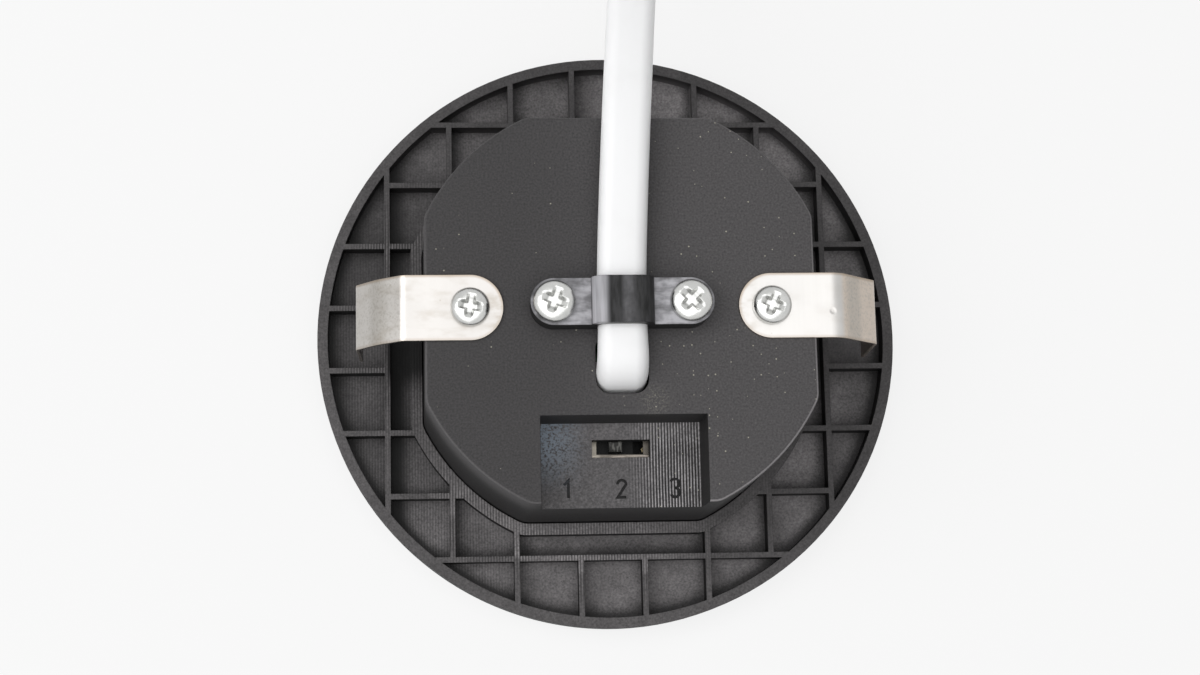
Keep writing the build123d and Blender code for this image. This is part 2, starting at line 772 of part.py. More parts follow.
# Supply cable: out of its hole, under the clamp, over the housing's edge and down to the table
lying_z = back_z + cable_thickness / 2
floor_z = cable_thickness / 2 + floor_gap
route = [
    (cable_x, cable_hole_y, cable_end_z),
    (cable_x, cable_hole_y, lying_z),
    (cable_x, 6.0, lying_z),
    (1.2, 31.0, lying_z + 1.6),
    (3.4, 56.0, lying_z - 3.8),
    (5.4, 78.0, lying_z - 17.0),
    (7.2, 100.0, floor_z + 2.2),
    (8.4, 122.0, floor_z + 0.2),
    (8.0, 144.0, floor_z),
]
runs = [Vector(b) - Vector(a) for a, b in zip(route, route[1:])]
turns = [a.get_angle(b) for a, b in zip(runs, runs[1:])]
bend_radii = [
    0.45 * min(a.length, b.length) / tan(radians(turn / 2))
    for a, b, turn in zip(runs, runs[1:], turns)
]
bend_radii[0] = exit_bend
print("cable bends", [round(radius, 1) for radius in bend_radii])
with BuildPart() as supply_cable:
    with BuildLine() as cable_line:
        FilletPolyline(*route, radius=bend_radii)
    with BuildSketch(Plane(origin=route[0], x_dir=(1, 0, 0), z_dir=(0, 0, 1))) as cable_section:
        SlotOverall(cable_width, cable_thickness)
    sweep(path=cable_line.line)
supply_cable.part.label = "supply_cable"
export_step(supply_cable.part, "parts/supply_cable.step")
cable_length = sum(edge.length for edge in cable_line.edges())
print("cable length", round(cable_length, 1))
swept_length = supply_cable.part.volume / cable_section.sketch.area
print("cable volume over its section", round(swept_length, 1))

# Stripped end: two insulated cores with tinned tips
end_plane = Plane(origin=route[-1], x_dir=(1, 0, 0), z_dir=runs[-1])
with BuildPart() as cable_cores:
    with BuildSketch(end_plane):
        with Locations((-core_spacing / 2, 0), (core_spacing / 2, 0)):
            Circle(core_radius)
    extrude(amount=core_length - tip_length)
cable_cores.part.label = "cable_cores"
export_step(cable_cores.part, "parts/cable_cores.step")

with BuildPart() as core_tips:
    with BuildSketch(end_plane.offset(core_length - tip_length)):
        with Locations((-core_spacing / 2, 0), (core_spacing / 2, 0)):
            Circle(tip_radius)
    extrude(amount=tip_length)
core_tips.part.label = "core_tips"
export_step(core_tips.part, "parts/core_tips.step")
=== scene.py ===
# %% [markdown]
# # The back of a recessed ceiling light
# A ceiling light lies face down on a table, and the camera looks at its back. Its solid parts were made
# in CAD and arrive as a fixed frame: in metres, each at its place. Blender adds what CAD is poor at: the
# flat cable, the spring clips as bent sheet, the screw heads with their cross recess, and a finish for
# every surface.

# %% Load the solid parts
import json
from math import pi, radians, sqrt

import bmesh
import bpy
import numpy as np
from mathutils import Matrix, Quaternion, Vector


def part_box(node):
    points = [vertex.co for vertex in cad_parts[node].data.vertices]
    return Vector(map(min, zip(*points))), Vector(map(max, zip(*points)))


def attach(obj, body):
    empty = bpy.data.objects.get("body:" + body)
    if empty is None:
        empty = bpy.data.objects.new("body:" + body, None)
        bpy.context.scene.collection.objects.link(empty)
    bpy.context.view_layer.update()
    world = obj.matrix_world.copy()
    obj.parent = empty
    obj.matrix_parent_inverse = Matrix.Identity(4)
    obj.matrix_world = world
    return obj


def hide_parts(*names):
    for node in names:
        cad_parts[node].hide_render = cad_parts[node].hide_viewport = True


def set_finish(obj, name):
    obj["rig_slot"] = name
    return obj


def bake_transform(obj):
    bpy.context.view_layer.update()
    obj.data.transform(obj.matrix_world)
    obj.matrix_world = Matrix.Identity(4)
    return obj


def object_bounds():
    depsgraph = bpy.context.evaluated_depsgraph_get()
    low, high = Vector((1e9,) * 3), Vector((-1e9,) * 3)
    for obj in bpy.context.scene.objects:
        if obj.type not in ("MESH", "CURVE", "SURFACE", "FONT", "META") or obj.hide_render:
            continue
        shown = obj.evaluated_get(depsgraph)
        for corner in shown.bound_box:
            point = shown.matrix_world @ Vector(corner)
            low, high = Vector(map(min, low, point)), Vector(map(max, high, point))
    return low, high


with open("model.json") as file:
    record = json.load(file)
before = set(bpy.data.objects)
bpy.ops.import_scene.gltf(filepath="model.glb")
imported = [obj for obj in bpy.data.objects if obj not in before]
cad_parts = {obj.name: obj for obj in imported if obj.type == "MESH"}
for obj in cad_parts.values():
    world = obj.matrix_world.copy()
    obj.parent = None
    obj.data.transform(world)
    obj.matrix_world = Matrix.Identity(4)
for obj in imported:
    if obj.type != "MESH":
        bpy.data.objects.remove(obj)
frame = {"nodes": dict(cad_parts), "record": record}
cad_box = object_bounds()
nodes = frame["nodes"]
mm = 0.001
box_sides = [round(side / mm, 1) for side in cad_box[1] - cad_box[0]]
print("solid parts:", len(nodes), "in a box of", box_sides, "mm")

# %% [markdown]
# ## The camera
# The photograph is taken from about a third of a metre above the light, a little to the left and from the
# switch's side. The turn is one vector: its direction is the axis, its length the angle. A camera can
# also be aimed by a Track To constraint, but a plain turn keeps the roll that the photograph has. The
# picture's shift is given in pixels of the photograph.

# %% Camera at the photograph's angle
picture_width = 1200
picture_shift = (-3.0, 3.5)
camera_place = (-0.02691, -0.05782, 0.32704)
camera_turn = Vector((10.09, -4.51, -0.89)) * radians(1)
camera = bpy.data.objects.new("camera", bpy.data.cameras.new("camera"))
camera.location = camera_place
camera.rotation_mode = "QUATERNION"
camera.rotation_quaternion = Quaternion(camera_turn.normalized(), camera_turn.length)
camera.data.sensor_width = 36
camera.data.lens = 63.15
camera.data.shift_x, camera.data.shift_y = (step / picture_width for step in picture_shift)
bpy.context.scene.collection.objects.link(camera)
bpy.context.scene.camera = camera
print("camera height in mm:", round(camera.location.z / mm))

# %% [markdown]
# ## Faces of a grid
# Each new piece is made of grids of points that numpy works out in one go, row by row. Building by hand in
# Edit Mode gives the same mesh, but numbers can be changed later. The faces of a grid always follow the
# same rule: a point, the one beside it, and the same two in the next row.

# %% Number the faces of a grid
def grid_faces(rows, columns, wrap=False):
    """Four corners of each face of a grid numbered row by row; wrap joins the last column to the first."""
    steps = columns if wrap else columns - 1
    row, column = np.meshgrid(np.arange(rows - 1), np.arange(steps), indexing="ij")
    beside = (column + 1) % columns
    this_row, next_row = row * columns, (row + 1) * columns
    corners = (this_row + column, this_row + beside, next_row + beside, next_row + column)
    return np.stack(corners, axis=-1).reshape(-1, 4)


print("a grid of 3 by 4 points has", len(grid_faces(3, 4)), "faces, and wrapped", len(grid_faces(3, 4, True)))

# %% [markdown]
# ## From patches to a piece
# One piece can have several grids, such as a screw's head and its shank. They are put into one mesh, the
# points that meet are merged, and the faces are turned outwards. Shading is smooth, apart from edges that
# turn by more than an angle.

# %% Make a piece from patches
merge_distance = 0.001 * mm


def make_piece(name, *patches, sharp=35):
    """One object from patches of (points, faces): meeting points merged, edges sharp above an angle."""
    starts = np.cumsum([0] + [len(points) for points, _ in patches])
    points = np.concatenate([points for points, _ in patches])
    faces = np.concatenate([faces + start for (_, faces), start in zip(patches, starts)])
    mesh = bpy.data.meshes.new(name)
    mesh.from_pydata(points.tolist(), [], faces.tolist())
    shell = bmesh.new()
    shell.from_mesh(mesh)
    bmesh.ops.remove_doubles(shell, verts=shell.verts, dist=merge_distance)
    bmesh.ops.recalc_face_normals(shell, faces=shell.faces)
    shell.to_mesh(mesh)
    shell.free()
    mesh.shade_smooth()
    mesh.set_sharp_from_angle(angle=radians(sharp))
    piece = bpy.data.objects.new(name, mesh)
    bpy.context.scene.collection.objects.link(piece)
    print(name, "has", len(mesh.polygons), "faces")
    return piece


# %% [markdown]
# ## The supply cable
# The light is fed by a flat twin cable: two cores side by side in one white sheath. It comes up out of a
# hole, lies down on the housing, passes under a clamp and goes over the edge to the table. A curve with a
# bevel is the usual way to make a cord, but a bevelled curve twists a flat section as it likes. So the
# line is read from a NURBS spline, and a flat outline is carried along it with its wide side held level.

# %% The cable's line
cable_corners = mm * np.array([
    (-0.1, -10.4, 23.7),
    (-0.1, -10.4, 31.8),
    (-0.1, -2.2, 31.8),
    (-0.1, 6.0, 31.8),
    (1.2, 31.0, 33.4),
    (3.4, 56.0, 28.0),
    (5.4, 78.0, 14.8),
    (7.2, 100.0, 4.4),
    (8.4, 122.0, 2.4),
    (8.0, 144.0, 2.2),
])


def smooth_line(corners, steps=24):
    """Points of a NURBS curve of order 3 with these control points, as Blender itself works them out."""
    curve = bpy.data.curves.new("line", "CURVE")
    curve.dimensions = "3D"
    spline = curve.splines.new("NURBS")
    spline.points.add(len(corners) - 1)
    spline.points.foreach_set("co", np.column_stack((corners, np.ones(len(corners)))).ravel())
    spline.order_u = 3
    spline.use_endpoint_u = True
    spline.resolution_u = steps
    holder = bpy.data.objects.new("line", curve)
    traced = bpy.data.meshes.new_from_object(holder)
    points = np.empty(3 * len(traced.vertices))
    traced.vertices.foreach_get("co", points)
    bpy.data.objects.remove(holder)
    bpy.data.curves.remove(curve)
    bpy.data.meshes.remove(traced)
    return points.reshape(-1, 3)


def line_length(points):
    """Sum of the distances between neighbouring points."""
    return np.linalg.norm(np.diff(points, axis=0), axis=1).sum()


cable_line = smooth_line(cable_corners)
print("cable line:", len(cable_line), "points,", round(line_length(cable_line) / mm, 1), "mm")

# %% [markdown]
# ## Carrying an outline along a line
# At each point of the line two directions are needed: one across, for the width, and one square to it,
# for the thickness. Taking X and removing what runs along the line gives the first, and a cross product
# gives the second. The section is a circle whose two halves are pulled apart, so the cable's edges are
# half round. The cable is a little fuller where it bends out of its hole.

# %% The cable's sheath
cable_width = 7.15 * mm
cable_thickness = 4.2 * mm
hole_y = cable_corners[0, 1]
swell_share = 0.065
swell_reach = 6.5 * mm


def flat_outline(width, thickness, count=48):
    """Closed outline: a circle of the thickness, with its halves pulled apart until it has the width."""
    angle = (np.arange(count) + 0.5) * 2 * pi / count
    across = thickness / 2 * np.cos(angle) + np.sign(np.cos(angle)) * (width - thickness) / 2
    return across, thickness / 2 * np.sin(angle)


def carry(line, outline, swell=0.0):
    """An outline carried along a line, with its ends drawn to a point.

    Each ring is its point of the line + (1 + swell) (across * width + above * thickness).
    """
    along = np.gradient(line, axis=0)
    along /= np.linalg.norm(along, axis=1, keepdims=True)
    across = np.array((1.0, 0.0, 0.0)) - along[:, :1] * along
    across /= np.linalg.norm(across, axis=1, keepdims=True)
    above = np.cross(across, along)
    size = (1 + swell * np.ones(len(line)))[:, None, None]
    flat = across[:, None] * outline[0][:, None] + above[:, None] * outline[1][:, None]
    rings = line[:, None] + size * flat
    ends = np.repeat(line[[0, -1], None], rings.shape[1], axis=1)
    rings = np.concatenate((ends[:1], rings, ends[1:]))
    return rings.reshape(-1, 3), grid_faces(*rings.shape[:2], wrap=True)


hole_swell = swell_share * np.clip(1 - (cable_line[:, 1] - hole_y) / swell_reach, 0, 1)
cable_outline = flat_outline(cable_width, cable_thickness)
cable = make_piece("flat_cable", carry(cable_line, cable_outline, hole_swell))

# %% [markdown]
# ## The stripped end
# The fitter's end of the cable is stripped: 22 mm of insulated core and 8 mm of bare wire, on each of the
# two cores. The cores are round outlines on short straight lines. Bare wire is seven fine strands, six of
# them wound around the middle one, so each strand is a thin outline on a helix.

# %% Cores and strands
core_radius = 1.15 * mm
core_spacing = 3.2 * mm
core_length = 22 * mm
tip_radius = 0.55 * mm
tip_length = 8 * mm
strand_radius = tip_radius / 3
strand_lay = 9 * mm

cable_end = cable_corners[-1]
end_along = cable_corners[-1] - cable_corners[-2]
end_along /= np.linalg.norm(end_along)
end_across = np.array((1.0, 0.0, 0.0)) - end_along[0] * end_along
end_across /= np.linalg.norm(end_across)
end_above = np.cross(end_across, end_along)


def end_line(side, start, length, reach=0.0, turn=0.0, count=40):
    """A helix about one core's axis: start + s along it, at a distance reach, turning with s."""
    s = np.linspace(0, length, count)[:, None]
    angle = turn + 2 * pi * s / strand_lay
    off_axis = reach * (np.cos(angle) * end_across + np.sin(angle) * end_above)
    return cable_end + side * core_spacing / 2 * end_across + (start + s) * end_along + off_axis


def round_outline(radius, count=24):
    """Closed outline: a circle."""
    return flat_outline(2 * radius, 2 * radius, count)


core_pair = [
    carry(end_line(side, 0, core_length, count=8), round_outline(core_radius))
    for side in (-1, 1)
]
cores = make_piece("cable_core_pair", *core_pair)
strands = [
    carry(end_line(side, core_length, tip_length, reach, turn), round_outline(strand_radius, 10))
    for side in (-1, 1)
    for reach, turn in [(0, 0)] + [(2 * strand_radius, k * pi / 3) for k in range(6)]
]
tips = make_piece("bare_strands", *strands)

# The new pieces stand for the plain solids of the CAD model, which are then hidden.

back_top = 29.7  # millimetres
for piece, node, slot in (
    (cable, "supply_cable", "cable_white"),
    (cores, "cable_cores", "core_sheath"),
    (tips, "core_tips", "tinned_copper"),
):
    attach(piece, "fixture")
    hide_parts(node)
    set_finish(piece, slot)
print("cable declared with", cores.name, "and", tips.name)

# %% [markdown]
# ## The spring clips
# Each clip is one strip of spring steel. Its round end is screwed to the housing, it leaves the housing's
# edge, turns down over a shoulder and ends in an upright leg that grips behind the ceiling. A cube bent
# by a modifier would bend everywhere alike, so the strip's middle line is drawn with its own bends: a
# corner that turns by an angle t with a radius r is cut back by r tan(t/2) on both sides, and an arc
# takes its place.

# %% The line of a bent strip
def bent_line(corners, radii, stations=240, arc_steps=24):
    """Even stations along a line with rounded corners.

    Each arc is its start + r (sin(p) a + (1 - cos(p)) n), with p from 0 to the turn, a the direction
    before the corner and n the direction after it made square to a.
    """
    corners, radii = np.array(corners), np.array(radii)
    runs = np.diff(corners, axis=0)
    runs /= np.linalg.norm(runs, axis=1, keepdims=True)
    before, after = runs[:-1], runs[1:]
    turn = np.arccos(np.sum(before * after, axis=1))
    inward = after - np.cos(turn)[:, None] * before
    inward /= np.linalg.norm(inward, axis=1, keepdims=True)
    start = corners[1:-1] - (radii * np.tan(turn / 2))[:, None] * before
    p = (turn[:, None] * np.linspace(0, 1, arc_steps))[..., None]
    swing = np.sin(p) * before[:, None] + (1 - np.cos(p)) * inward[:, None]
    arcs = start[:, None] + radii[:, None, None] * swing
    line = np.concatenate((corners[:1], arcs.reshape(-1, 2), corners[-1:]))
    way = np.append(0, np.cumsum(np.linalg.norm(np.diff(line, axis=0), axis=1)))
    even = np.linspace(0, way[-1], stations)
    return np.column_stack((np.interp(even, way, line[:, 0]), np.interp(even, way, line[:, 1])))


elbow = bent_line([(0.0, 0.0), (10.0, 0.0), (10.0, 10.0)], [2.0])
print("an elbow with sides of 10 and a radius of 2 is", round(line_length(elbow), 2), "long")

# %% [markdown]
# ## From line to sheet
# Two patches meet in one row of points. Around the screw hole a ring of rays runs from the hole to the
# sheet's edge: a circle at the round end, a square on the other side. From the square's far side a plain
# grid follows the bent line.

# %% Patches of a clip
clip_sheet = 0.5 * mm
clip_half = 4.8 * mm
clip_hole = 1.6 * mm
clip_screw_x = 21.85 * mm
clip_z = back_top * mm + clip_sheet / 2
hinge_x = 29.855 * mm
leg_end_z = 12.4 * mm
ray = np.arange(-48, 48) * 2 * pi / 96
shared = ray[np.abs(ray) < pi / 4 + 1e-6]


def clip_sheet_patches(side, corners, radii, leg_out):
    """The foot as rays hole + s (edge - hole), and the strip as (bent line) by (half width tan(ray))."""
    to_square = clip_half / np.maximum(np.abs(np.cos(ray)), np.abs(np.sin(ray)))
    edge = np.where(np.cos(ray) > 1e-9, to_square, clip_half)
    reach = clip_hole + np.linspace(0, 1, 12)[:, None] * (edge - clip_hole)
    level = np.full(reach.shape, clip_z)
    foot = np.stack((clip_screw_x + reach * np.cos(ray), reach * np.sin(ray), level), axis=-1)
    drawn = [(clip_screw_x + clip_half, clip_z)]
    drawn += [(hinge_x + out * mm, clip_z - drop * mm) for out, drop in corners]
    drawn += [(hinge_x + leg_out * mm, leg_end_z)]
    line = bent_line(drawn, np.array(radii) * mm)
    x, y = np.meshgrid(line[:, 0], clip_half * np.tan(shared), indexing="ij")
    strip = np.stack((x, y, np.repeat(line[:, 1:], len(shared), axis=1)), axis=-1)
    mirror = np.array((side, 1, 1))
    return (
        ((foot * mirror).reshape(-1, 3), grid_faces(*foot.shape[:2], wrap=True)),
        ((strip * mirror).reshape(-1, 3), grid_faces(*strip.shape[:2])),
    )


print("rays around a clip's hole:", len(ray), "of which", len(shared), "go on along the strip")

# %% [markdown]
# ## Two bent clips
# The left and the right clip were bent by hand, so each has its own corners, given from the hinge as a
# way out and a drop, its own radii and its own leg. Solidify gives the sheet its thickness to both sides,
# and a small Bevel breaks the cut edges.

# %% Left and right clip
edge_break = 0.08 * mm
clip_bends = {
    "left": (-1, ((1.6, 0), (5.3, 3.15), (8.3, 7.15)), (1.5, 9.0, 0.8), 8.1),
    "right": (1, ((2.1, 0), (5.2, 3.0), (8.2, 5.75)), (3.6, 20.0, 0.8), 8.7),
}
clips = {}
for name, (side, corners, radii, leg_out) in clip_bends.items():
    clip = make_piece(f"{name}_spring_clip", *clip_sheet_patches(side, corners, radii, leg_out))
    solid = clip.modifiers.new("sheet", "SOLIDIFY")
    solid.thickness = clip_sheet
    solid.offset = 0
    edges = clip.modifiers.new("broken edges", "BEVEL")
    edges.width = edge_break
    edges.segments = 2
    edges.angle_limit = radians(50)
    edges.harden_normals = True
    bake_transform(clip)
    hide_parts(f"{name}_clip_foot", f"{name}_clip_leaf")
    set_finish(clip, "clip_steel")
    clips[name] = clip

# %% [markdown]
# ## The top of a pan head
# Four zinc-plated screws hold the clips and the clamp. A lathe shape can't have a cross recess, so the
# head's top is a square grid pressed into a disc: x = u sqrt(1 - v²/2) and y = v sqrt(1 - u²/2). The
# recess is sunk along the grid's own lines, two arms that are deepest at the middle, and the grid is
# finest at their walls.

# %% Head with a cross recess
head_height = 1.9 * mm
head_side = 0.35 * mm
dome_power = 2.1
arm_reach, arm_half, arm_wall = 0.64, 0.19, 0.07
recess_depth = 0.95 * mm
half_lines = np.concatenate((
    np.linspace(0, arm_half - arm_wall, 5),
    np.linspace(arm_half - arm_wall, arm_half + arm_wall, 5)[1:],
    np.linspace(arm_half + arm_wall, arm_reach, 10)[1:],
    1 - np.linspace(sqrt(1 - arm_reach), 0, 10)[1:] ** 2,
))
grid_lines = np.concatenate((-half_lines[:0:-1], half_lines))


def cross_recess(u, v):
    """Depth of the cross: an arm is a slope from its end times a wall at its side; the deeper arm counts."""
    def arm(along, beside):
        floor = np.clip((arm_reach - np.abs(along)) / (0.5 * arm_reach), 0, 1)
        return floor * np.clip((arm_half + arm_wall - np.abs(beside)) / (2 * arm_wall), 0, 1)
    return recess_depth * np.maximum(arm(u, v), arm(v, u))


def head_top(turn, head_radius):
    """A grid in a disc, in head radii, at the height side + rise sqrt(1 - rho^power) - recess."""
    u, v = np.meshgrid(grid_lines, grid_lines, indexing="ij")
    rho = np.sqrt(np.clip(u * u + v * v - u * u * v * v, 0, 1))
    rise = head_side + (head_height - head_side) * np.sqrt(1 - rho ** dome_power) - cross_recess(u, v)
    x, y = u * np.sqrt(1 - v * v / 2), v * np.sqrt(1 - u * u / 2)
    turned_x = x * np.cos(turn) - y * np.sin(turn)
    turned_y = x * np.sin(turn) + y * np.cos(turn)
    return np.stack((turned_x, turned_y, rise / head_radius), axis=-1)


print("lines of a head's grid:", len(grid_lines))

# %% [markdown]
# ## Under the head
# The rim of the head's grid goes on as rings: the head's side, its underside, and a shank with a thread
# that climbs as it goes round. A thread can be a spiral swept around a rod, but as a change of the ring's
# radius it needs no joint with the rod.

# %% One screw
shank_radius = 1.45 * mm
thread_depth = 0.28 * mm
thread_pitch = 1.05 * mm
point_length = 1.2 * mm
point_slope = 0.6
brim_height, brim_share = 0.08 * mm, 0.97
shank_rings = 90


def screw(centre, seat, end, turn, head_radius):
    """The head's grid, and rings below it.

    A ring's radius is r(z) + depth (1 - |2 climb - 1|), with climb the fraction of z / pitch - angle / 2 pi.
    """
    top = head_top(turn, head_radius)
    rim = np.concatenate((top[0, :-1], top[:-1, -1], top[-1, :0:-1], top[:0:-1, 0]))
    depth = end - seat
    down = np.linspace(0, depth, shank_rings)
    z = np.concatenate(((head_side, brim_height, 0, 0), down[1:], (depth,)))
    core = shank_radius - thread_depth - point_slope * np.maximum(depth + point_length - down, 0)
    radius = np.concatenate((head_radius * np.array((1, 1, brim_share)), (shank_radius,), core[1:], (0,)))
    threaded = np.concatenate((np.zeros(4), np.ones(len(down) - 1), (0,)))
    angle = np.arctan2(rim[:, 1], rim[:, 0])
    climb = np.mod(z[:, None] / thread_pitch - angle / (2 * pi), 1)
    reach = radius[:, None] + threaded[:, None] * thread_depth * (1 - np.abs(2 * climb - 1))
    heights = np.repeat(z[:, None], len(angle), axis=1)
    rings = np.stack((reach * np.cos(angle), reach * np.sin(angle), heights), axis=-1)
    place = np.array((*centre, seat))
    return (
        ((top * head_radius).reshape(-1, 3) + place, grid_faces(*top.shape[:2])),
        (rings.reshape(-1, 3) + place, grid_faces(*rings.shape[:2], wrap=True)),
    )


sample_points = sum(len(points) for points, _ in screw((0, 0), 0, -8 * mm, 0, 2.85 * mm))
print("points of one screw:", sample_points)

# %% [markdown]
# ## Two pairs of screws
# No two screws stop at the same turn, so each has its own. The heads on the clamp are a little wider than
# the heads on the clips. A pair shares one piece, because each pair is one node of the CAD model, and it
# ends where that node ends.

# %% Screws of the clips and of the clamp
tab_top = 33.3  # millimetres
clamp_y = 0.15 * mm
screw_sets = {
    "clip_screws": (((-clip_screw_x, 0, -10), (clip_screw_x, 0, -22)), clip_z + clip_sheet / 2, 2.85 * mm),
    "clamp_screws": (((-9.9 * mm, clamp_y, -20), (9.7 * mm, clamp_y, 45)), tab_top * mm, 3.05 * mm),
}
screw_pieces = {}
for node, (places, seat, head_radius) in screw_sets.items():
    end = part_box(node)[0].z
    patches = [screw((x, y), seat, end, radians(turn), head_radius) for x, y, turn in places]
    pair = make_piece(f"pan_head_{node}", *(patch for parts in patches for patch in parts), sharp=40)
    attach(pair, "fixture")
    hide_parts(node)
    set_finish(pair, "screw_zinc")
    screw_pieces[node] = pair

# %% [markdown]
# ## Shader maths in Python
# A finish is a tree of shader nodes, and most of those nodes only calculate. A small class wraps one
# socket, so that `0.4 + 0.2 * grain` adds the Math nodes by itself. One method adds any other kind of
# node: its settings come first and then its sockets, each with a number or a link. Colours go through a
# Mix node, because Math would turn them grey.

# %% A socket to calculate with
class Wire:
    """An output socket of a shader tree; + - and * add Math nodes."""

    def __init__(self, tree, socket):
        self.tree, self.socket = tree, socket

    def node(self, kind, settings=(), sockets=(), out=0):
        """Adds a node of this kind, sets its settings, then its sockets, and gives one of its outputs."""
        made = self.tree.nodes.new("ShaderNode" + kind)
        for name, value in dict(settings).items():
            setattr(made, name, value)
        for name, value in dict(sockets).items():
            if isinstance(value, Wire):
                self.tree.links.new(value.socket, made.inputs[name])
            else:
                made.inputs[name].default_value = value
        return Wire(self.tree, made.outputs[out])

    def math(self, operation, *values):
        """A Math node of these values, or of this socket alone."""
        return self.node("Math", {"operation": operation}, enumerate(values or (self,)))

    def __add__(self, other):
        return self.math("ADD", self, other)

    def __sub__(self, other):
        return self.math("SUBTRACT", self, other)

    def __rsub__(self, other):
        return self.math("SUBTRACT", other, self)

    def __mul__(self, other):
        return self.math("MULTIPLY", self, other)

    __radd__, __rmul__ = __add__, __mul__

    def other(self, output):
        """Another output of the same node."""
        return Wire(self.tree, self.socket.node.outputs[output])

    def xyz(self):
        """The three parts of a vector."""
        parts = self.node("SeparateXYZ", sockets={"Vector": self})
        return [parts.other(axis) for axis in "XYZ"]

    def fade(self, first, second):
        """The first number where this is 0, the second where it is 1."""
        return first + self * (second - first)

    def between(self, low, high):
        """0 below low, 1 above high and a soft step between them; low may be the larger one."""
        limits = {"Value": self, "From Min": low, "From Max": high}
        return self.node("MapRange", {"interpolation_type": "SMOOTHSTEP"}, limits)

    def past(self, first, second):
        """A soft step over a place: 0 up to the first and 1 past the second, both in millimetres."""
        return self.between(first * mm, second * mm)

    def near(self, point, reach):
        """1 at a point in millimetres, falling to 0 at a reach in millimetres."""
        spot = tuple(value * mm for value in point)
        away = self.node("VectorMath", {"operation": "DISTANCE"}, {0: self, 1: spot}, out="Value")
        return away.between(reach * mm, 0.2 * reach * mm)

    def mix(self, first, second):
        """The first colour where this is 0, the second where it is 1."""
        return self.node("Mix", {"data_type": "RGBA"}, {0: self, 6: first, 7: second}, out=2)

    def scale(self, colour):
        """A colour made lighter or darker by this number."""
        return self.node("VectorMath", {"operation": "SCALE"}, {0: colour, "Scale": self})

    def noise(self, scale, detail=2.0, roughness=0.5):
        """Noise from 0 to 1 in space; scale is how many lumps fit in a metre, or three such numbers."""
        stretch = scale if isinstance(scale, tuple) else (scale, scale, scale)
        stretched = self.node("VectorMath", {"operation": "MULTIPLY"}, {0: self, 1: stretch})
        sockets = {"Vector": stretched, "Scale": 1.0, "Detail": detail, "Roughness": roughness}
        return self.node("TexNoise", sockets=sockets)

    def specks(self, scale, size, share):
        """Round specks seen from above.

        Scale is cells in a metre, size a radius in cells and share how many of the cells have a speck.
        """
        cell = self.node("TexVoronoi", {"voronoi_dimensions": "2D"}, {"Vector": self, "Scale": scale})
        chance, spread, _ = cell.other("Color").xyz()
        radius = size * (0.5 + 0.5 * spread)
        return (radius - cell).between(0, 0.3 * size) * (share - chance).between(0, 0.02)

    def open_share(self, sockets):
        """How open a spot of the part is, from 0 to 1, by the Ambient Occlusion node."""
        return self.node("AmbientOcclusion", {"only_local": True, "samples": 8}, sockets, out="AO")

    def soft_edge(self, radius):
        """A normal that rounds sharp edges by a radius in millimetres."""
        return self.node("Bevel", {"samples": 4}, {"Radius": radius * mm})

    def bump(self, depth, normal=None):
        """A normal from this height, from 0 to 1, over a depth in millimetres."""
        sockets = {"Height": self, "Strength": 1.0, "Distance": depth * mm}
        if normal:
            sockets["Normal"] = normal
        return self.node("Bump", sockets=sockets)


print("a Wire can", ", ".join(name for name in vars(Wire) if not name.startswith("_")))

# %% [markdown]
# ## A new finish
# Every finish is a material with one Principled shader. Numbers that are the same all over are set on the
# shader, and what changes over the surface is linked to it. Patterns read Object coordinates: each part's
# object sits at the origin, so they are places in the whole light, and a pattern doesn't need a UV map.

# %% Start and connect a finish
finishes = {}


def new_finish(name, constants):
    """A material with these numbers; gives the place on the surface and a way to link to the shader."""
    material = bpy.data.materials.new(name)
    material.use_nodes = True
    tree = material.node_tree
    shader = tree.nodes["Principled BSDF"]
    for socket, value in constants.items():
        shader.inputs[socket].default_value = value
    finishes[name] = material
    place = Wire(tree, tree.nodes.new("ShaderNodeTexCoord").outputs["Object"])

    def connect(links):
        for socket, wire in links.items():
            tree.links.new(wire.socket, shader.inputs[socket])
        print(name, "has", len(tree.nodes), "nodes")

    return place, connect


# %% [markdown]
# ## Black moulded plastic
# The trim and the housing are black plastic with a fine matt grain. Its look changes with the place, so
# masks come first: the direction of a face tells walls from floors, and its height tells the trim's
# cells, the ribs, the pocket and the back apart. The Ambient Occlusion node measures how open a spot is.
# Here it looks up and out to the sides and to the switch, and each cell gets painted shade along those
# walls. All of it is worked out from the part itself, so it stays put when the camera moves.

# %% Masks of the black parts
rib_top, pocket_floor = 5.0, 23.2  # millimetres
place, connect = new_finish("black_plastic", {"Specular IOR Level": 0.25})
x, y, z = place.xyz()
from_middle = (x * x + y * y).math("SQRT")
facing = place.other("Normal").xyz()[2]
up, front = facing.between(0.3, 0.9), facing.between(-0.4, -0.9)
wall = facing.math("ABSOLUTE").between(0.85, 0.3)
on_trim = z.past(rib_top + 0.6, rib_top + 0.2)
below_back = z.past(pocket_floor + 2.8, pocket_floor + 0.8)
on_floor = up * below_back * z.past(pocket_floor - 3.2, pocket_floor - 0.6)
sunk = on_floor * z.past(pocket_floor - 0.08, pocket_floor - 0.15)
slanted = facing.between(0.25, 0.6) * facing.between(0.98, 0.85)
rounded = slanted * z.past(back_top - 1.9, back_top - 1.3)
lean = {"X": 36 * x, "Y": 12 * y - 24 * y.math("ABSOLUTE"), "Z": 1.0}
tilted = place.node("CombineXYZ", sockets=lean)
tilted = tilted.node("VectorMath", {"operation": "NORMALIZE"}, {0: tilted})
# How open each spot is, for the painted shade of the cells.
open_sky = place.open_share({"Distance": 2.6 * mm, "Normal": tilted})
print("masks of the black parts:", len(place.tree.nodes), "nodes")

# %% [markdown]
# ## Grain and mould lines
# Noise of four sizes gives clouds, mottle, grain and flecks. The mould was cut in lines 0.44 mm apart: a
# sine of X, pushed a little to and fro by noise so that the lines aren't ruled. Its third power leaves
# thin ridges.

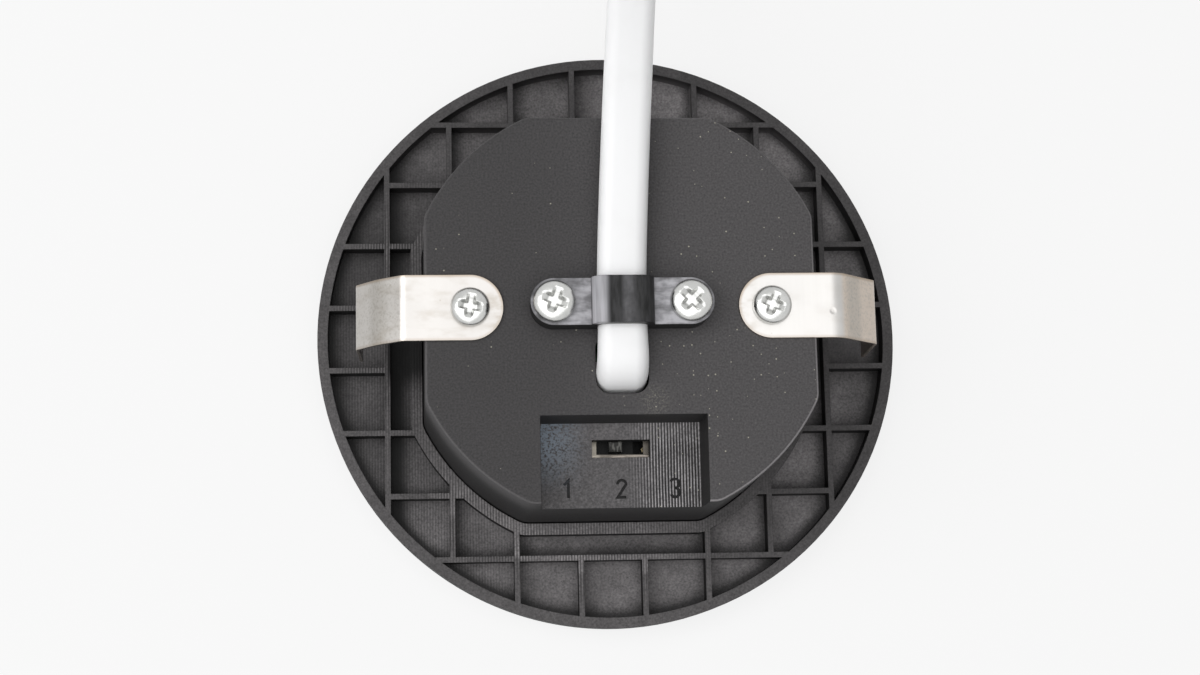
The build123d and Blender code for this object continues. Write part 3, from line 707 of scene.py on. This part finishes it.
# %% Patterns of the black parts
line_pitch = 0.44 * mm
pattern_sizes = ((70, 4), (260, 4), (3300, 2), (3600, 2))
clouds, mottle, grain, fleck = (place.noise(*size) for size in pattern_sizes)
wave = x * (2 * pi / line_pitch) + 2.0 * place.noise(140)
cut = 0.5 + 0.5 * wave.math("SINE")
ridge = cut * cut * cut * (0.4 + 1.2 * place.noise(500))
print("with patterns:", len(place.tree.nodes), "nodes")

# %% [markdown]
# ## The trim's cells
# The floors of the cells are not equally pale: those near the switch and the cable, and those beside the
# right clip, get painted light. Each pattern changes the tone, a number that scales one dark colour. The
# strip left of the housing gets the darkest painted shade, since it lies deep between a rib and the
# collar.

# %% Tone of the cells
# Painted light on the cells' floors, stronger near the switch, the cable and the right clip.
painted_cell_light = y.math("ABSOLUTE").past(12, 38) - 0.3 * (y - x).past(25, 50) + 0.4 * x.past(8, 30) * y.past(0, -14)
beside_flat = x.past(18, 24) * from_middle.past(41, 37)
below_clip = y.past(-4, -9) * y.past(-27, -23)
above_clip = y.past(4, 9) * y.past(17, 14)
painted_cell_light = painted_cell_light + 0.9 * (x + y).past(36, 54) + beside_flat * (0.75 * below_clip + 0.9 * above_clip)
# Painted shade along the cells' walls, from how open each spot is.
shaded = open_sky.between(0.25, 0.76).fade(0.25, 1.2)
cut_cells = 0.25 * x.past(-5, -28) * y.past(25, -5).fade(0.3, 1.0)
cells = painted_cell_light.fade(1.4, 2.7) * shaded * (0.5 + mottle) * cut.fade(1.0 - cut_cells, 1.0 + cut_cells)
# Painted shade in the strip left of the housing.
left_strip = x.past(-30.2, -32.8) * x.past(-34.4, -34.2)
cells = cells * (1 - left_strip * y.past(8, -2).fade(0.55, 0.95))
print("with cells:", len(place.tree.nodes), "nodes")

# %% [markdown]
# ## Ribs and collar
# The tops of the ribs are flush with the collar around the housing. They are palest at the lower left,
# where the mould's lines show in patches, and the collar is paler still on the switch's side. Under the
# left clip the trim is painted black as the clip's shadow.

# %% Tone of the ribs
lower_left = (x + y).past(25, -40)
left_lines = lower_left * x.past(12, -18).fade(0.3, 1.0)
patchy = 0.3 + 0.9 * place.noise(90).between(0.35, 0.65)
striped = 0.9 * from_middle.past(44, 37) * left_lines * patchy
ribs = lower_left.fade(1.25, 1.85) * (0.6 + 0.8 * mottle) * cut.fade(1.0 - striped, 1.0 + striped)
collar = from_middle.past(37.5, 36.5) * y.past(-12, -34) * x.past(18, 6)
trim = z.past(rib_top - 0.8, rib_top - 0.3).fade(cells, ribs * (1 + 0.9 * collar))
# Painted shadow of the left clip on the trim.
painted_clip_shadow = x.past(-27, -29) * x.past(-34.6, -34) * y.past(-8.5, -4.5) * y.past(8.5, 4.5)
trim = trim * (1 - 0.95 * painted_clip_shadow)
print("with ribs:", len(place.tree.nodes), "nodes")

# %% [markdown]
# ## Back, pocket and walls
# The back is a little paler to the right, which is painted light. The pocket's floor is flecked, and its
# right part shows the mould's ridges strongly; its upper strip, in the shade of the pocket's wall, is
# painted lighter. Walls are painted darker than floors as shade, apart from the left side of the housing
# and the trim's walls on the cable's side, which get painted light, and the housing's rounded edge has a
# painted highlight. The numbers are sunk and nearly black.

# %% Tone of each place
lined = x.past(0, 6)
# Painted light: the back is paler to the right.
back = x.past(-18, 14).fade(0.96, 1.5)
# The pocket's upper strip is painted lighter against the shade of its wall.
pocket = 0.9 + 2.4 * fleck + 1.3 * y.past(-20, -16.5) + lined * (8.5 * ridge - 1.9)
tone = front.fade(on_floor.fade(on_trim.fade(back, trim), pocket), 1.0 + 0.3 * clouds)
tone = tone * (0.15 + 1.7 * grain)
# Walls are painted dark as shade; the housing's left side and the trim's walls on the cable's side get
# painted light.
painted_side_light = x.past(-11, -15) * z.past(19, 28.6)
lit_wall = y.past(15, 38) * x.past(-30, 20).fade(0.5, 1.6) * z.past(4.6, 2.2).fade(0.5, 2.0)
tone = wall.fade(tone, 0.28 - 0.2 * on_trim + lit_wall * on_trim + 0.9 * painted_side_light)
# Painted highlight along the housing's rounded edge.
edge_highlight = x.past(-12, 12).fade(1.1, 4.0) * y.past(20, -5).fade(0.25, 1.0)
tone = sunk.fade(tone + rounded * edge_highlight, 0.15)
base = tone.scale(on_trim.mix((0.0425, 0.0405, 0.0415, 1), (0.0428, 0.0405, 0.0412, 1)))
print("with tones:", len(place.tree.nodes), "nodes")

# %% [markdown]
# ## Painted sheen and dust
# The left part of the pocket gets a painted bluish sheen. Pale dust lies on the back, most of it near the
# cable's hole: cells of a Voronoi texture, of which a few have a speck. The grain and the lines are a
# bump as well, and a Bevel node rounds the moulded edges.

# %% Finish of the trim and the housing
# Painted bluish sheen on the pocket's left part.
painted_light_patch = x.past(-4, -12) * y.past(-27, -17)
painted_sheen = on_floor * painted_light_patch * fleck.between(0.36, 0.56)
base = painted_sheen.mix(base, (0.26, 0.31, 0.37, 1))
hole_dust = place.near((4, -10, back_top), 16) + 0.6 * x.past(2, 12)
dust = (1 - wall) * (1 - on_trim) * place.specks(900, 0.12, 0.03 + 0.14 * hole_dust)
smear = 0.16 * place.near((4.6, -13.7, back_top), 3.2) * fleck.between(0.48, 0.66)
base = (0.7 * dust + smear).mix(base, (0.46, 0.44, 0.36, 1))
cut_lines = on_floor * lined + 0.4 * on_trim * up * left_lines
height = 0.5 * grain + 0.5 * cut_lines * cut
connect({
    "Base Color": base,
    "Roughness": 0.48 + 0.12 * clouds + 0.14 * grain,
    "Normal": height.bump(0.035, place.soft_edge(0.18)),
})

# %% [markdown]
# ## The cable clamp
# The clamp is a satin black nylon saddle. The screws and the fitter's fingers have scuffed its two tabs
# grey, and the left shoulder of its bridge has a painted highlight, while the bridge's top is still dark,
# with one paler band where the cable's edge has stretched it. The scuffs are noise stretched along X, the
# bands noise stretched along Y.

# %% Finish of the clamp
def grey(value):
    """A neutral colour."""
    return (value, value, value, 1)


clamp_x = -0.1 * mm
place, connect = new_finish("clamp_nylon", {"Specular IOR Level": 0.14})
x, _, z = place.xyz()
up = place.other("Normal").xyz()[2].between(0.2, 0.8)
out = (x - clamp_x).math("ABSOLUTE")
on_tabs = out.past(4.2, 4.5) * z.past(tab_top + 0.5, tab_top + 0.2) * up
on_bridge = 1 - on_tabs
streak = place.noise((260, 800, 260), 4)
band = place.noise((1300, 120, 1300), 2)
spots, grain = place.noise(900, 3), place.noise(4200, 2)
scuff = on_tabs * (0.24 + 0.8 * streak.between(0.28, 0.72) + 0.2 * spots.between(0.35, 0.7))
scuff = scuff * out.past(13, 8).fade(0.55, 1.0) * x.past(0, 5).fade(1.0, 1.15)
# Painted highlight on the bridge's left shoulder.
shoulder_highlight = x.past(-1.9, -3.1) * on_bridge * z.past(tab_top + 0.2, tab_top + 0.9)
stretched = x.past(-0.7, 0.1) * x.past(2.2, 0.7) * on_bridge * up
rough_spots = 0.08 * place.noise((1300, 240, 1300), 3).between(0.3, 0.75) * on_bridge * up
marks_and_highlight = scuff + shoulder_highlight * (0.34 + band) + 0.26 * stretched * spots + rough_spots
connect({
    "Base Color": marks_and_highlight.mix(grey(0.012), (0.455, 0.45, 0.475, 1)),
    "Roughness": 0.32 + 0.2 * scuff + 0.1 * grain,
    "Normal": (0.5 * streak + 0.3 * band + 0.2 * grain).bump(0.012, place.soft_edge(0.25)),
})

# %% [markdown]
# ## Spring steel
# The clips are bright rolled sheet: fine lines across the strip, faint cloudy stains, a few dents and
# brownish cut edges. It is a metal, so its colour is what it reflects, and most of the look comes from
# the roughness and the bump. The right clip and the bends are given a paler colour, warmer on the right
# bend, as painted reflection. The bends are speckled dark, and darker in a band across them.

# %% Finish of the clips
place, connect = new_finish("clip_steel", {"Metallic": 1.0, "Anisotropic": 0.4})
x, y, _ = place.xyz()
outward = x.math("ABSOLUTE")
right = x.past(0, 20)
bent = place.other("Normal").xyz()[2].math("ABSOLUTE").between(0.93, 0.8)
rolled, cloud = place.noise((2600, 90, 2600), 3), place.noise(160, 4)
smudge, speckle = place.noise((240, 520, 240), 4), place.noise(2600, 3)
bend = outward + 0.7 * mm * right
dark_band = bent * bend.past(33.2, 34.6) * bend.past(36.8, 35.6)
base = cloud.mix((0.435, 0.42, 0.405, 1), (0.485, 0.47, 0.455, 1))
# Painted reflection: the right clip paler, and the bends paler still.
base = (0.7 * right).mix(base, (0.53, 0.52, 0.507, 1))
base = bent.mix(base, right.mix((0.53, 0.51, 0.485, 1), (0.54, 0.475, 0.415, 1)))
base = (0.55 * dark_band + 0.5 * bent * speckle.between(0.45, 0.7)).mix(base, (0.37, 0.35, 0.32, 1))
beyond = clip_screw_x - outward
past_screw = beyond.math("MAXIMUM", beyond, 0.0)
from_axis = (past_screw * past_screw + y * y).math("SQRT")
burr = from_axis.past(4.25, 4.7) * y.past(-1, 2).fade(0.35, 0.65)
base = burr.mix(base, (0.27, 0.205, 0.145, 1))
stain = smudge.between(0.46, 0.75) * right.fade(1.0, 0.3)
dents = place.specks(420, 0.07, 0.12)
round_end = (1 - bent) * outward.past(20.5, 17.2)
dirt = 0.3 * stain + 0.4 * dents + 0.5 * round_end * smudge.between(0.4, 0.62)
dented = place.near((30.8, -0.9, 30.2), 0.6)
connect({
    "Base Color": dirt.mix(base, (0.25, 0.21, 0.16, 1)),
    "Roughness": 0.24 + 0.12 * rolled + 0.1 * cloud,
    "Normal": (0.06 * rolled + 0.03 * cloud - 0.05 * dents - dented).bump(0.08),
})

# %% [markdown]
# ## Zinc plating
# The screws have a zinc plating with a finer, rounder grain than rolled sheet. Where the recess and the
# edge under the head are narrow, which Ambient Occlusion finds, they are darkened as painted shade.

# %% Finish of the screws
place, connect = new_finish("screw_zinc", {"Metallic": 1.0})
plated, cloud = place.noise(3200, 3), place.noise(700, 3)
# Painted shade in the recess and under the head.
recess_shade = place.open_share({"Distance": 0.7 * mm}).between(0.95, 0.35)
base = cloud.mix((0.46, 0.465, 0.455, 1), (0.68, 0.68, 0.665, 1))
connect({
    "Base Color": recess_shade.mix(base, (0.24, 0.242, 0.235, 1)),
    "Roughness": 0.17 + 0.14 * plated,
    "Normal": (0.6 * plated + 0.4 * cloud).bump(0.014, place.soft_edge(0.16)),
})

# %% [markdown]
# ## The cable's finish
# The sheath is soft white vinyl: nearly white, half matt, with faint lengthwise draw lines from the die
# and a few grey finger marks. A little light goes into it and comes out again, which Subsurface does. The
# cores under it are brown and blue, and their bare strands are tinned copper.

# %% Finish of the cable, its cores and strands
vinyl = {"Subsurface Weight": 0.2, "Subsurface Radius": (1, 1, 1), "Subsurface Scale": 0.8 * mm}
place, connect = new_finish("cable_white", vinyl)
drawn = place.noise((1800, 25, 1800), 2)
smudge = place.noise(140, 4).between(0.5, 0.8)
connect({
    "Base Color": (0.4 * smudge + 0.15 * drawn).mix((0.96, 0.962, 0.97, 1), (0.89, 0.89, 0.89, 1)),
    "Roughness": 0.42 + 0.12 * smudge + 0.06 * drawn,
    "Normal": drawn.bump(0.008),
})
for name, low, high in (
    ("core_brown", (0.1, 0.035, 0.015, 1), (0.14, 0.055, 0.025, 1)),
    ("core_blue", (0.02, 0.07, 0.3, 1), (0.035, 0.1, 0.38, 1)),
):
    place, connect = new_finish(name, {})
    drawn = place.noise((2500, 60, 2500), 2)
    connect({
        "Base Color": drawn.mix(low, high),
        "Roughness": 0.38 + 0.12 * drawn,
        "Normal": drawn.bump(0.006),
    })
place, connect = new_finish("tinned_copper", {"Metallic": 1.0})
tin = place.noise(2600, 3)
connect({
    "Base Color": tin.between(0.3, 0.5).mix((0.5, 0.33, 0.22, 1), (0.58, 0.56, 0.53, 1)),
    "Roughness": 0.25 + 0.2 * tin,
    "Normal": tin.bump(0.01),
})

# %% [markdown]
# ## Plastics of the inside and the front
# The opal lens faces the table, and the driver and the light source are inside the housing. They are seen
# when the part is taken apart or turned over, so each has its own finish too. Moulded plastics differ
# only in colour, gloss and grain, so one function makes them, and the rubber seal and the ferrite too.

# %% Plastics by colour, gloss and grain
def moulded(name, colour, darker, gloss, lumps=2200, depth=0.008):
    """A moulded plastic: clouds between two colours, roughness around a middle value and a fine grain."""
    place, connect = new_finish(name, {})
    cloud, grain = place.noise(180, 4), place.noise(lumps, 2)
    connect({
        "Base Color": cloud.mix((*darker, 1), (*colour, 1)),
        "Roughness": gloss - 0.06 + 0.12 * grain,
        "Normal": grain.bump(depth, place.soft_edge(0.12)),
    })


moulded("opal_plastic", (0.88, 0.88, 0.86), (0.85, 0.85, 0.83), 0.36, 3600, 0.004)
moulded("white_plastic", (0.86, 0.86, 0.86), (0.82, 0.82, 0.82), 0.3)
moulded("seal_rubber", (0.7, 0.7, 0.68), (0.62, 0.62, 0.6), 0.6)
moulded("led_phosphor", (0.85, 0.62, 0.12), (0.8, 0.52, 0.08), 0.4, 6000)
moulded("insulator", (0.8, 0.77, 0.66), (0.74, 0.7, 0.58), 0.45)
moulded("ferrite", (0.035, 0.035, 0.038), (0.022, 0.022, 0.024), 0.62, 3000, 0.02)
moulded("film_box", (0.66, 0.42, 0.05), (0.6, 0.36, 0.04), 0.32)
moulded("chip_black", (0.022, 0.022, 0.023), (0.015, 0.015, 0.016), 0.55, 5000, 0.01)
moulded("terminal_plastic", (0.8, 0.8, 0.77), (0.74, 0.74, 0.71), 0.38)

# %% [markdown]
# ## Sheet metals
# The heat spreader is aluminium sheet, and the pins and contacts are brass. Rolled sheet has long fine
# lines, which are noise stretched along one axis: few lumps in a metre along the lines, many across them.

# %% Metals by colour and rolling
def rolled_sheet(name, colour, darker, shine, stretch):
    """A sheet metal: lines stretched along the way it was rolled, and clouds between two colours."""
    place, connect = new_finish(name, {"Metallic": 1.0})
    lines, cloud = place.noise(stretch, 3), place.noise(260, 3)
    connect({
        "Base Color": cloud.mix((*darker, 1), (*colour, 1)),
        "Roughness": shine + 0.14 * lines,
        "Normal": lines.bump(0.006),
    })


rolled_sheet("spreader_aluminium", (0.8, 0.8, 0.81), (0.72, 0.72, 0.73), 0.3, (60, 2600, 2600))
rolled_sheet("contact_metal", (0.62, 0.53, 0.34), (0.5, 0.41, 0.24), 0.22, (2200, 200, 2200))

# %% [markdown]
# ## The slide switch
# Its black lever is scratched pale on top by the screwdriver that moves it. Its steel case is painted
# dark as shade in the slot, with painted light at the left end of the slot and along its lower edge.

# %% Finish of the switch
place, connect = new_finish("switch_plastic", {"Specular IOR Level": 0.08})
scratch = place.noise((2600, 700, 700), 3).between(0.5, 0.62)
lever_top = place.xyz()[2].past(21.6, 22.2)
grain = place.noise(3200, 2)
pale = lever_top * (0.2 + 0.8 * scratch)
connect({
    "Base Color": pale.mix(grey(0.012), (0.13, 0.128, 0.12, 1)),
    "Roughness": 0.36 + 0.14 * grain,
    "Normal": (0.5 * grain + 0.5 * scratch).bump(0.015),
})
place, connect = new_finish("switch_steel", {"Metallic": 1.0})
x, y, _ = place.xyz()
rolled = place.noise((300, 3000, 3000), 3)
# Painted shade on the case, and painted light at the slot's left end and along its lower edge.
painted_light_patch = x.past(-2.6, -3.4)
painted_sheen = y.past(-20.5, -20.6) * y.past(-20.9, -20.75) * rolled.between(0.4, 0.6)
base = painted_light_patch.mix((0.088, 0.08, 0.07, 1), (0.17, 0.157, 0.135, 1))
connect({
    "Base Color": (0.6 * painted_sheen).mix(base, (0.42, 0.37, 0.33, 1)),
    "Roughness": 0.3 + 0.14 * rolled,
    "Normal": rolled.bump(0.006),
})

# %% [markdown]
# ## Boards, winding and can
# A circuit board is a coloured solder mask with copper tracks that show through it a little lighter:
# tracks are noise read on a grid of steps. The transformer's winding is wrapped in yellow tape whose
# overlaps repeat along the coil, and the capacitor's can has a dark sleeve that leaves its top bare.

# %% Finish of the boards, the winding and the can
track_step = (1.27 * mm, 1.27 * mm, 9 * mm)
tape_pitch = 1.6 * mm
can_top = 26.0  # millimetres
for name, mask, track in (
    ("led_board", (0.84, 0.84, 0.82, 1), (0.78, 0.78, 0.75, 1)),
    ("driver_board", (0.012, 0.085, 0.025, 1), (0.03, 0.16, 0.05, 1)),
):
    place, connect = new_finish(name, {"Coat Weight": 0.3, "Coat Roughness": 0.2})
    stepped = place.node("VectorMath", {"operation": "SNAP"}, {0: place, 1: track_step})
    tracks = stepped.noise(260, 0).between(0.5, 0.53)
    grain = place.noise(3600, 2)
    connect({
        "Base Color": tracks.mix(mask, track),
        "Roughness": 0.34 + 0.12 * grain,
        "Normal": (0.8 * tracks + 0.2 * grain).bump(0.015),
    })
place, connect = new_finish("winding_tape", {})
wave = place.xyz()[2] * (2 * pi / tape_pitch) + 1.5 * place.noise(300)
overlap = wave.math("SINE").between(0.75, 1.0)
grain = place.noise(2600, 2)
connect({
    "Base Color": overlap.mix((0.78, 0.55, 0.05, 1), (0.55, 0.36, 0.03, 1)),
    "Roughness": 0.3 + 0.15 * grain,
    "Normal": (0.7 * overlap + 0.3 * grain).bump(0.02),
})
place, connect = new_finish("can_aluminium", {})
bare_top = place.xyz()[2].past(can_top, can_top + 0.1)
grain = place.noise(2600, 2)
connect({
    "Base Color": bare_top.mix((0.03, 0.04, 0.1, 1), (0.78, 0.78, 0.79, 1)),
    "Metallic": bare_top,
    "Roughness": 0.28 + 0.1 * grain,
    "Normal": grain.bump(0.006),
})

# %% [markdown]
# ## Finishes onto the parts
# The record of the CAD model says which slot each solid belongs to, and the finishes carry the same
# names. The one slot without a finish of its name is the cores', which have two colours: solids take the
# brown one. The new pair of cores has both, and a face's side of the cable tells which of the two it
# gets.

# %% Give each part its finish
for part in frame["record"]["subparts"]:
    solid = nodes[part["node"]].data
    finish = finishes.get(part["material_slot"], finishes["core_brown"])
    solid.materials.clear()
    solid.materials.append(finish)
for piece in (cable, tips, *clips.values(), *screw_pieces.values()):
    piece.data.materials.append(finishes[piece["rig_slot"]])
cores.data.materials.append(finishes["core_brown"])
cores.data.materials.append(finishes["core_blue"])
middle = np.empty(3 * len(cores.data.polygons))
cores.data.polygons.foreach_get("center", middle)
is_blue = (middle.reshape(-1, 3) - cable_end) @ end_across > 0
cores.data.polygons.foreach_set("material_index", is_blue.astype(np.int32))
print("finishes:", len(finishes), "blue faces:", int(is_blue.sum()))

# %% [markdown]
# ## The white table
# Camera rays, mirror rays and rays through clear things see the table and the surroundings as plain
# white; other rays see an ordinary pale table. So the light on the object stays at a plain level, and the
# table keeps a soft shadow. More light would whiten the table too, but it would bleach the object with
# it.

# %% A table that the camera sees as white
def sees_white(tree):
    """1 for rays of the camera, of reflections and of transmission, and 0 for all other rays."""
    rays = tree.nodes.new("ShaderNodeLightPath").outputs
    kinds = ("Camera", "Glossy", "Transmission")
    seen, mirrored, through = (Wire(tree, rays[f"Is {kind} Ray"]) for kind in kinds)
    seen = seen.math("MAXIMUM", seen, mirrored)
    return seen.math("MAXIMUM", seen, through)


table_half = 3.0
table_drop = 0.05 * mm
table_points = table_half * np.array([(-1, -1, 0), (1, -1, 0), (1, 1, 0), (-1, 1, 0)])
table_points[:, 2] -= table_drop
table = make_piece("table", (table_points, np.array([(0, 1, 2, 3)])))
table_finish = bpy.data.materials.new("white_table")
table_finish.use_nodes = True
tree = table_finish.node_tree
tree.nodes.remove(tree.nodes["Principled BSDF"])
white = sees_white(tree)
paper = white.node("BsdfDiffuse", sockets={"Color": grey(0.93)})
glow = white.node("Emission", sockets={"Color": grey(0.95), "Strength": 1.0})
shown = white.node("MixShader", sockets={"Fac": 0.85 * white, 1: paper, 2: glow})
tree.links.new(shown.socket, tree.nodes["Material Output"].inputs["Surface"])
table.data.materials.append(table_finish)

# %% Surroundings that the camera sees as white
world = bpy.data.worlds.new("white_surroundings")
bpy.context.scene.world = world
world.use_nodes = True
white = sees_white(world.node_tree)
backdrop = world.node_tree.nodes["Background"]
backdrop.inputs["Color"].default_value = grey(1.0)
world.node_tree.links.new((0.2 + 0.8 * white).socket, backdrop.inputs["Strength"])
print("surroundings:", world.name, "with", len(world.node_tree.nodes), "nodes")

# %% [markdown]
# ## Softboxes
# The light comes from a large softbox overhead and a fill from the left, both as area lamps, with even
# light from all round. An area lamp's power grows with its area, so each is given as a radiance, the
# brightness of its face, and the power follows from that.

# %% Two softboxes
for name, spot, (width, height), radiance in (
    ("overhead_softbox", (-0.22, -0.2, 0.92), (1.9, 1.9), 1.15),
    ("left_strip", (-0.64, 0.12, 0.74), (0.42, 0.6), 2.4),
):
    lamp = bpy.data.objects.new(name, bpy.data.lights.new(name, "AREA"))
    lamp.data.shape = "RECTANGLE"
    lamp.data.size, lamp.data.size_y = width, height
    lamp.data.energy = radiance * pi * width * height
    lamp.location = spot
    lamp.rotation_euler = (-Vector(spot)).to_track_quat("-Z", "Y").to_euler()
    bpy.context.scene.collection.objects.link(lamp)
    print(name, "gives", round(lamp.data.energy, 2), "watts")
bpy.context.scene.view_settings.view_transform = "Standard"

# %% [markdown] ## Size The solids' box is worked out and printed at the start.
# The dressed light has to stay in the box of its solids.
